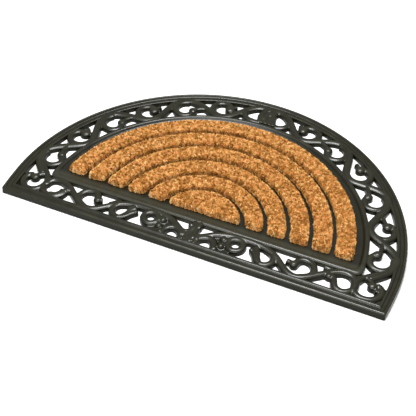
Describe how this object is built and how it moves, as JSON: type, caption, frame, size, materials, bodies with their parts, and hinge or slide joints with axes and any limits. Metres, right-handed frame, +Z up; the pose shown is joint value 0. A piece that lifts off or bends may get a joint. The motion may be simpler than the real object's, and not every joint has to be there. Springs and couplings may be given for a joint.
{
  "type": "half-round coir doormat",
  "caption": "Half-round doormat: a moulded rubber mat with a beaded rim and an openwork scroll border, inlaid with concentric half rings of cropped coir.",
  "frame": {"origin": "middle of the bounding box on the floor, under the mat", "axes": "+X to the right along the straight front edge, +Y to the back of the round edge, +Z up, pile side up"},
  "size_m": [0.7498, 0.45, 0.0185],
  "materials": {
    "moulded_rubber": "satin moulded charcoal rubber, soft sheen on the raised beads and scrolls",
    "cropped_coir": "dense cropped coconut-fibre pile, natural golden brown, speckled light and dark"
  },
  "bodies": {
    "root": {"rubber_moulding": "moulded_rubber", "coir_ring_1": "cropped_coir", "coir_ring_2": "cropped_coir", "coir_ring_3": "cropped_coir", "coir_ring_4": "cropped_coir", "coir_ring_5": "cropped_coir", "coir_half_disc": "cropped_coir"}
  },
  "joints": []
}
